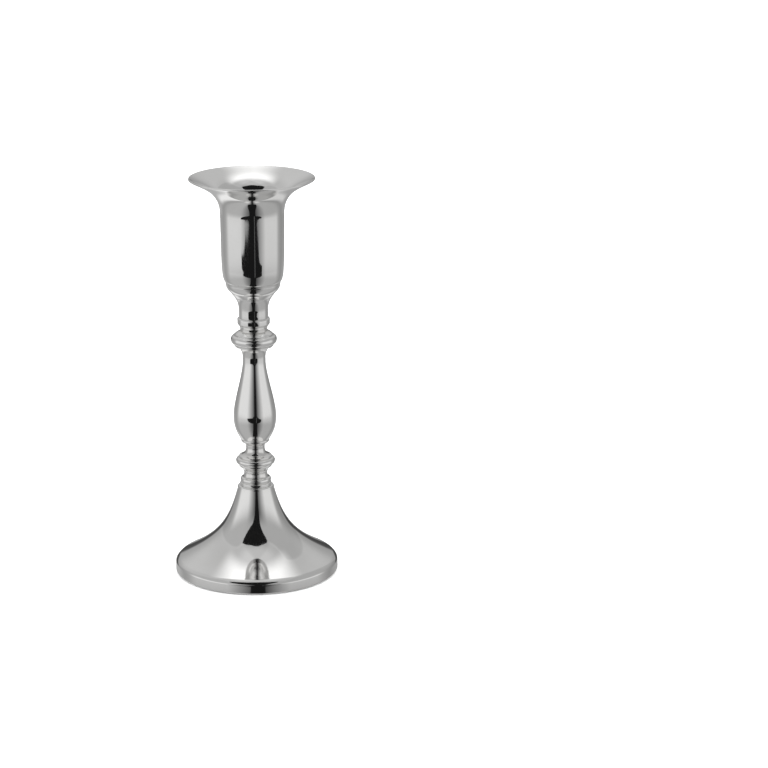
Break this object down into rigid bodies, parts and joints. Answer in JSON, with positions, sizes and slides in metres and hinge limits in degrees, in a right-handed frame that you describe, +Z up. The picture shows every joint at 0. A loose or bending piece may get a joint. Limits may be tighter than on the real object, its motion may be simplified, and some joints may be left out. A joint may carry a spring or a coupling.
{
  "type": "candlestick",
  "caption": "Turned silver-plated candlestick with a round flared foot, a baluster stem and a flared cup that unscrews from its tie rod.",
  "frame": {"origin": "on the table, at the middle of the felt pad's underside", "axes": "+Z up along the tie rod; the object is round, so +X and +Y are free"},
  "size_m": [0.0812, 0.0812, 0.1999],
  "materials": {
    "silver_plate": "bright polished silver plate, faint polishing lines, thin tarnish in the grooves",
    "steel": "bright zinc-plated steel",
    "brass": "plain turned brass",
    "cast_iron": "rough as cast, oiled",
    "felt": "short dark green wool felt",
    "fibre": "dull red vulcanised fibre"
  },
  "bodies": {
    "stem": {"felt_pad": "felt", "base_cover": "steel", "ballast_ring": "cast_iron", "foot_shell": "silver_plate", "base_nut": "steel", "base_lock_washer": "steel", "base_washer": "steel", "tie_rod": "steel", "foot_collar": "silver_plate", "lower_knop": "silver_plate", "baluster_ring": "silver_plate", "baluster": "silver_plate", "upper_knop": "silver_plate", "neck_base": "silver_plate", "neck_ring": "silver_plate", "neck": "silver_plate", "calyx": "silver_plate", "stem_lock_nut": "steel"},
    "cup_washer": {"cup_washer": "fibre"},
    "cup": {"cup_ring": "silver_plate", "candle_cup": "silver_plate", "cup_boss": "brass", "candle_socket": "silver_plate", "socket_screw": "steel"}
  },
  "joints": [
    {"name": "cup_rise", "type": "slide", "parent": "stem", "child": "cup_washer", "axis": [0, 0, 1], "range_m": [0, 0.0056]},
    {"name": "cup_turn", "type": "hinge", "parent": "cup_washer", "child": "cup", "pos_m": [0, 0, 0.1437], "axis": [0, 0, 1], "range_deg": [0, 2520]}
  ],
  "couplings": [
    {"joint": "cup_rise", "follows": "cup_turn", "m_per_rad": 0.00012732}
  ]
}
